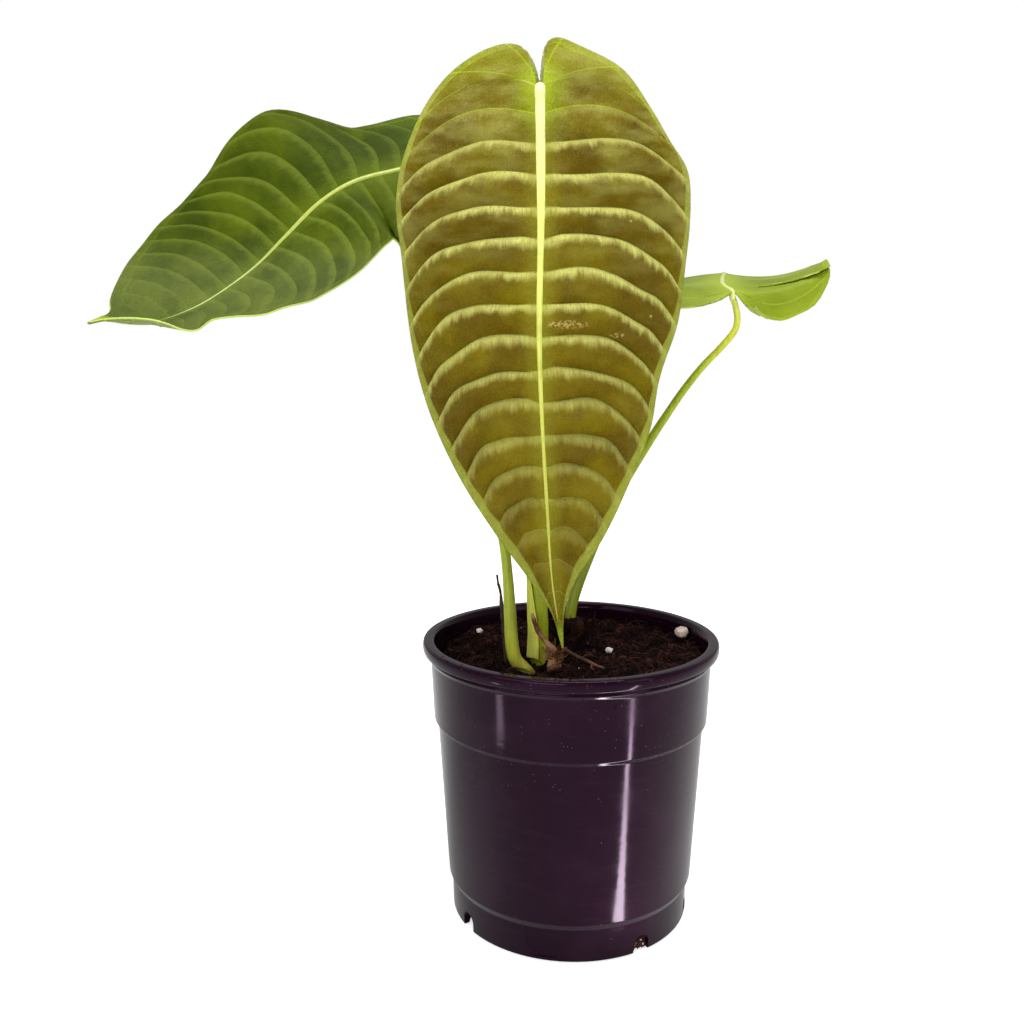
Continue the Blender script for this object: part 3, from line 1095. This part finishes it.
soilShape = {
    "level": 97.2, "relief": 1.0, "slump": 3.4, "rings": 64, "sides": 200, "reach": 49.6,
    "under": [(48.9, 77), (47.4, 71.6), (44.2, 14.1), (42.8, 11.7), (41.9, 4.9)],
    "soil": {"dark": (0.003, 0.0006, 0.0005), "pale": (0.01, 0.0026, 0.002), "fleck": (0.06, 0.018, 0.012),
             "fleckShare": 0.25, "roughness": 0.9, "bump": 0.9, "specular": 0.08},
    "crumb": {"dark": (0.004, 0.0008, 0.0006), "pale": (0.022, 0.006, 0.0045), "roughness": 0.85, "bump": 0.8,
              "specular": 0.1},
    "bark": {"dark": (0.012, 0.003, 0.002), "pale": (0.07, 0.022, 0.015), "roughness": 0.75, "bump": 0.8,
             "specular": 0.12},
    "coir": {"dark": (0.012, 0.003, 0.002), "pale": (0.07, 0.022, 0.016), "roughness": 0.7, "bump": 0.2,
             "specular": 0.12},
    "white": {"dark": (0.5, 0.47, 0.42), "pale": (0.72, 0.7, 0.66), "roughness": 0.8, "bump": 0.5},
    "crumbLayers": [  # look, grains a square metre, smallest and largest in mm, detail, squash, seed
        ("crumb", 300e3, 0.35, 1.5, 1, 0.7, 3), ("bark", 90e3, 0.35, 1.3, 1, 0.55, 8),
        ("crumb", 9e3, 1.4, 3.0, 2, 0.6, 5), ("bark", 5e3, 1.2, 2.6, 2, 0.45, 12),
        ("white", 1.5e3, 0.25, 0.6, 1, 0.8, 9)],
    "coirCurl": 7,
    "coirLayers": [(60e3, 8, 0.1, 21), (14e3, 13, 0.15, 22)],  # threads a square metre, length, width, seed
}


def soilHeight(x, y):
    slump = soilShape["slump"] * gentle(-0.8 * x - 0.6 * y, 4, 52)
    broad = np.sin(0.31 * x + 1.2) * np.cos(0.27 * y - 0.5)
    fine = 0.6 * np.sin(0.63 * x - 0.52 * y + 2)
    calm = gentle(np.hypot(x + 6, y + 3), 14, 24)
    pit = 4 * np.exp(-((x + 12) ** 2 + (y + 13) ** 2) / 45)
    return soilShape["level"] - slump - pit + soilShape["relief"] * (broad + fine) * calm


def lumpy(x, y, seed):
    place = Vector((x * 0.16, y * 0.16, seed))
    return 0.75 * noise.noise(place) + 0.45 * noise.noise(place * 2.7) + 0.25 * noise.noise(place * 6.5)


def soilTop(name, low, high):  # the surface between two radii
    sides = soilShape["sides"]
    rings = int(soilShape["rings"] * (high - low) / soilShape["reach"])
    points = []
    for r in np.linspace(low, high, rings + 1):
        for a in np.linspace(0, 2 * math.pi, sides + 1):
            x, y = r * math.cos(a), r * math.sin(a)
            points.append((x * mm, y * mm, (soilHeight(x, y) + lumpy(x, y, 2.5)) * mm))
    return meshPiece(name, points, gridFaces(rings + 1, sides + 1), [])


def soilCore(finish):  # the surface, then rings down the pot's inner wall to its floor
    core = soilTop("soilBody", 0, soilShape["reach"])
    mend(core, outward=False)
    shell = bmesh.new()
    shell.from_mesh(core.data)
    ring = [edge for edge in shell.edges if edge.is_boundary]
    for r, z in soilShape["under"]:
        made = bmesh.ops.extrude_edge_only(shell, edges=ring)["geom"]
        ring = [item for item in made if isinstance(item, bmesh.types.BMEdge)]
        for corner in {v for edge in ring for v in edge.verts}:
            angle = math.atan2(corner.co.y, corner.co.x)
            corner.co = (r * mm * math.cos(angle), r * mm * math.sin(angle), z * mm)
    bmesh.ops.holes_fill(shell, edges=ring)
    bmesh.ops.recalc_face_normals(shell, faces=shell.faces)
    shell.to_mesh(core.data)
    shell.free()
    core.data.shade_smooth()
    core.data.materials.append(finish)
    return core


def strew(piece, density, small, large, detail, squash, seed, finish):
    return grow(piece, crumbTree, {
        "Density": density, "Smallest": small * mm, "Largest": large * mm, "Detail": detail, "Squash": squash,
        "Seed": seed, "Finish": finish})


def makeSoil():
    finish = {key: makeDryMaterial("soil" + key.title(), soilShape[key])
              for key in ("soil", "crumb", "bark", "coir", "white")}
    soil = soilCore(finish["soil"])
    top = soilTop("top", 0.5, 49)
    strewn = [strew(copyPiece(top, "strewn"), *layer, finish[label])
              for label, *layer in soilShape["crumbLayers"]]
    for density, length, thick, seed in soilShape["coirLayers"]:
        strewn.append(grow(copyPiece(top, "coir"), fibreTree, {
            "Density": density, "Length": length * mm, "Thickness": thick * mm,
            "Curl": soilShape["coirCurl"] * mm, "Lift": 0.4, "Seed": seed, "Finish": finish["coir"]}))
    bpy.data.objects.remove(top)
    joinPieces(soil, *strewn)
    settlePiece(soil, "soil", "potting_soil")
    print("soil made,", len(soil.data.polygons), "faces")
    return finish


spilt = {  # place is a range of angles, of radii and of heights, grains the smallest and largest in mm
    "lipDust": {"place": ((212, 292), (51.2, 54.4), (104.1, 104.1)), "size": (40, 3), "density": 260e3,
                "grains": (0.12, 0.55), "seed": 3},
    "wallCrumbs": {"place": ((268, 300), (51.7, 52.9), (90, 97.6)), "size": (20, 4), "density": 90e3,
                   "grains": (0.12, 0.4), "seed": 6},
    "notchGrains": {"place": ((-58.6, -51.4), (43.4, 42.6), (0.6, 5.9)), "size": (8, 6), "density": 4.5e6,
                    "grains": (0.3, 0.8), "seed": 9},
}


def patch(name, place, size):  # a small strip that curves with the pot
    (a0, a1), (r0, r1), (z0, z1) = place
    columns, rows = size
    points = []
    for j in range(rows + 1):
        r, z = (r0 + (r1 - r0) * j / rows) * mm, (z0 + (z1 - z0) * j / rows) * mm
        for i in range(columns + 1):
            a = math.radians(a0 + (a1 - a0) * i / columns)
            points.append((r * math.cos(a), r * math.sin(a), z))
    return meshPiece(name, points, gridFaces(rows + 1, columns + 1, flipped=True), [])


def makeSpilt(finish):
    for name, heap in spilt.items():
        piece = patch(name, heap["place"], heap["size"])
        strew(piece, heap["density"], *heap["grains"], 1, 0.7, heap["seed"], finish)
        settlePiece(piece, "soil")


soilFinish = makeSoil()
makeSpilt(soilFinish["bark"])


# Stem base, sheath and the dry bits

dryShape = {
    "fibre": {"dark": (0.005, 0.0015, 0.001), "pale": (0.035, 0.012, 0.007), "roughness": 0.85, "bump": 0.9,
              "specular": 0.08},
    "stalk": {"dark": (0.09, 0.03, 0.014), "pale": (0.42, 0.23, 0.11), "roughness": 0.75, "bump": 0.9,
              "specular": 0.12},
    "strand": {"dark": (0.01, 0.005, 0.003), "pale": (0.06, 0.03, 0.016), "roughness": 0.6, "bump": 0.5},
    "twig": {"dark": (0.06, 0.02, 0.012), "pale": (0.16, 0.06, 0.035), "roughness": 0.6, "bump": 0.4},
    "pumice": {"dark": (0.5, 0.36, 0.3), "pale": (0.85, 0.7, 0.6), "fleck": (0.3, 0.2, 0.16),
               "roughness": 0.9, "bump": 1},
    "perlite": {"dark": (0.68, 0.66, 0.62), "pale": (0.85, 0.84, 0.82), "roughness": 0.85, "bump": 0.7},
}
dryFinish = {key: makeDryMaterial("dry" + key.title(), look) for key, look in dryShape.items()}


def strands(name, paths, thick, finish, sides=5, rough=0.15):
    points, edges, girth = [], [], []
    joints = 9
    for path in paths:
        bent = along(smoothCurve(path, 60), np.linspace(0, 1, joints))
        edges.extend((len(points) + i, len(points) + i + 1) for i in range(joints - 1))
        points.extend(bent * mm)
        girth.extend(np.linspace(thick[0], thick[1], joints) * mm)
    piece = meshPiece(name, points, [], [finish], edges=edges)
    remember(piece, "girth", girth)
    remember(piece, "along", np.zeros(len(points)))
    return grow(piece, sweepTree, {
        "Sides": sides, "Roughness": rough * mm, "Lump Scale": 500.0, "Finish": finish})


def shaggy(centre, ring, count, reach, rise, seed):  # fibres that leave a foot outwards and upwards
    luck = np.random.default_rng(seed)
    paths = []
    for i in range(count):
        a = 2 * math.pi * (i + luck.uniform(-0.4, 0.4)) / count * 3
        out = np.array((math.cos(a), math.sin(a), 0))
        swerve = np.array((-math.sin(a), math.cos(a), 0)) * luck.uniform(-1.2, 1.2)
        root = np.array(centre) + out * ring * luck.uniform(0.5, 1) + np.array((0, 0, luck.uniform(-2, 3)))
        end = root + out * reach * luck.uniform(0.4, 1) + swerve
        end = end + np.array((0, 0, rise * luck.uniform(0.2, 1)))
        middle = (root + end) / 2 + out * luck.uniform(0, 1.4) + swerve * 0.4
        paths.append([root, middle, end])
    return paths


stemShape = {
    "foot": (0.5, 5.5),
    "profile": [(0, 78), (4.6, 78), (5.6, 82), (5.6, 100), (5.3, 104), (4.6, 108), (3.0, 109.6), (0, 110.2)],
    "corner": 1.2, "sides": 48, "shreds": 8, "shredThick": (0.5, 0.2),
    "shag": {"ring": 4.6, "count": 150, "reach": 6.5, "rise": 8.0, "seed": 5}, "shagThick": (0.22, 0.09),
}


def shredPaths(foot):  # the CAD part's ring of shreds, as flat tapering strips
    paths = []
    for i in range(stemShape["shreds"]):
        a = i / 8 * 2 * math.pi + 0.4 * math.sin(5 * i)
        out = np.array((math.cos(a), math.sin(a), 0))
        across = np.array((-math.sin(a), math.cos(a), 0))
        root = np.array((*foot, 101.2)) + out * 3.4
        end = np.array((*foot, 101.5 + 8 + 3.2 * math.sin(2.3 * i + 1))) + out * (7.4 + 1.6 * math.cos(3 * i))
        for j in np.linspace(-1, 1, 7):
            middle = (root + end) / 2 + across * 1.5 * j + out * (1.3 - 0.4 * abs(j))
            tip = end + across * 0.5 * j + np.array((0, 0, -1.6 * abs(j)))
            paths.append([root + across * 2.0 * j, middle, tip])
    return paths


def makeStemBase():
    foot, finish = stemShape["foot"], dryFinish["fibre"]
    profile = roundedProfile([(r, z, stemShape["corner"] if r else 0) for r, z in stemShape["profile"]])
    base = turned("stemWood", profile, stemShape["sides"], [finish])
    base.data.transform(Matrix.Translation((foot[0] * mm, foot[1] * mm, 0)))
    for corner in base.data.vertices:
        push = 0.5 * noise.noise(corner.co * 300) + 0.35 * noise.noise(corner.co * 900)
        corner.co += corner.normal * push * mm
    bundle = strands("shreds", shredPaths(foot), stemShape["shredThick"], finish, rough=0.3)
    fibres = shaggy((*foot, 102), **stemShape["shag"])
    joinPieces(base, bundle, strands("shag", fibres, stemShape["shagThick"], finish, sides=4))
    settlePiece(base, "fibre", "stem_base")


sheathShape = {
    "low": 0.062, "high": 0.215, "levels": 44, "steps": 26, "radius": 3.95, "thickness": 0.55,
    "middle": 196, "spread": 72, "topSpread": 12,
    "look": {"stops": [(0, (0.8, 0.78, 0.16)), (0.4, (0.84, 0.86, 0.12)), (0.8, (0.72, 0.78, 0.09)),
                       (1, (0.5, 0.46, 0.1))],
             "shade": (0.5, 0.52, 0.05), "roughness": 0.5, "streak": 0.5, "spots": 0.3, "bump": 0.5},
}


def makeSheath():
    shape = sheathShape
    curve = smoothCurve(petioles["petioleFront"]["path"])
    points, run = [], []
    for level in range(shape["levels"] + 1):
        f = level / shape["levels"]
        centre = along(curve, shape["low"] + (shape["high"] - shape["low"]) * f)
        spread = math.radians(shape["spread"] + (shape["topSpread"] - shape["spread"]) * f * f)
        for step in range(shape["steps"] + 1):
            share = 2 * step / shape["steps"] - 1
            a = math.radians(shape["middle"]) + spread * share
            ridge = 0.1 * math.cos(11 * share) + 0.25 * noise.noise(Vector((a * 3, f * 6, 1)))
            r = shape["radius"] + 0.5 * (1 - f) + ridge + 0.45 * abs(share) ** 3 * (1 - f)
            sway = 0.5 * noise.noise(Vector((a * 5, 0, f)))
            points.append((centre + np.array((r * math.cos(a), r * math.sin(a), sway))) * mm)
            run.append(f)
    faces = gridFaces(shape["levels"] + 1, shape["steps"] + 1, flipped=True)
    sheath = meshPiece("sheathFront", points, faces, [makeStemMaterial("sheathSkin", shape["look"])])
    remember(sheath, "along", run)
    thicken(sheath, shape["thickness"])
    settlePiece(sheath, "sheath", "sheath_front")


dryBits = {
    "driedStrand": {
        "node": "dried_strand", "slot": "dry_dark", "finish": "strand",
        "path": [(-23.6, -8, 88), (-23.6, -8.6, 98.9), (-24.3, -9, 108.4), (-25, -9, 117.8),
                 (-25.4, -9, 122.6), (-26.2, -9, 126), (-26.6, -9, 128.9)],
        "radius": [(0, 0.9), (0.6, 0.8), (1, 0.35)], "rings": 120, "sides": 14, "rough": 0.7, "lumps": 420},
    "rootTwig": {
        "node": "root_twig", "slot": "fibre", "finish": "twig",
        "path": [(-2.4, -13.4, 103.2), (1.4, -16, 101.6), (5.7, -19, 100.4), (9.6, -22.6, 99.6),
                 (12, -25, 99.5)],
        "radius": [(0, 0.5), (0.5, 0.58), (1, 0.42)], "rings": 80, "sides": 12, "rough": 0.3, "lumps": 500,
        "extra": [[(4, -17.8, 100.8), (6.5, -16.2, 101.8), (8.4, -15.8, 101.4)],
                  [(8, -21.2, 100), (7.4, -23.4, 99.2), (8.6, -25.2, 98.9)]],
        "extraThick": (0.28, 0.12), "extraSides": 5},
    "oldStalk": {
        "node": "old_stalk", "slot": "dry_pale", "finish": "stalk",
        "path": [(-5.4, -16.2, 88), (-5.6, -16, 97), (-5.9, -15.4, 102), (-9, -15.2, 106.5),
                 (-11.8, -15.2, 110.6), (-13.6, -15.4, 116.4)],
        "radius": [(0, 2.6), (0.28, 2.6), (0.45, 1.7), (0.62, 1), (0.9, 0.85), (1, 0.4)],
        "rings": 110, "sides": 20, "rough": 0.7, "lumps": 380,
        "extra": shaggy((-5.6, -16, 100), 2.0, 60, 3.4, 4.2, 8), "extraThick": (0.26, 0.1), "extraSides": 4},
}


def makeDryBits():
    for name, bit in dryBits.items():
        finish = dryFinish[bit["finish"]]
        piece = sweepPiece(name, bit, finish)
        if "extra" in bit:  # rootlets, or the frayed foot
            extra = strands(name + "Extra", bit["extra"], bit["extraThick"], finish, bit["extraSides"])
            joinPieces(piece, extra)
        settlePiece(piece, bit["slot"], bit["node"])


paleLumps = {
    "pumiceLump": {"node": "pumice_lump", "slot": "pumice", "radius": 2.6, "place": (43.4, 17.5, 101.2),
                   "seed": 1, "detail": 5},
    "perliteFront": {"node": "perlite_front", "slot": "perlite", "radius": 1.35, "place": (14.6, -2.1, 99.3),
                     "seed": 3, "detail": 4},
    "perliteLeft": {"node": "perlite_left", "slot": "perlite", "radius": 1.25, "place": (-36, 21, 99.6),
                    "seed": 5, "detail": 4},
}


def makeLump(name, lump):
    piece = meshPiece(name, [], [], [dryFinish[lump["slot"]]])
    ball = bmesh.new()
    bmesh.ops.create_icosphere(ball, subdivisions=lump["detail"], radius=1)
    for corner in ball.verts:
        at = corner.co + Vector((lump["seed"], lump["seed"] * 2, 0))
        size = 1 + 0.2 * noise.noise(at * 1.3) + 0.12 * noise.noise(at * 3.4) - 0.1 * abs(noise.noise(at * 7))
        flat = Vector((corner.co.x, corner.co.y, corner.co.z * 0.82))
        corner.co = flat * size * lump["radius"] * mm + Vector(lump["place"]) * mm
    ball.to_mesh(piece.data)
    ball.free()
    piece.data.shade_smooth()
    settlePiece(piece, lump["slot"], lump["node"])


makeStemBase()
makeSheath()
makeDryBits()
for name, lump in paleLumps.items():
    makeLump(name, lump)
print("dry bits made")


# Studio, sizes and the end

makeCamera()
makeLights()
makeFloor()
print("scene complete")
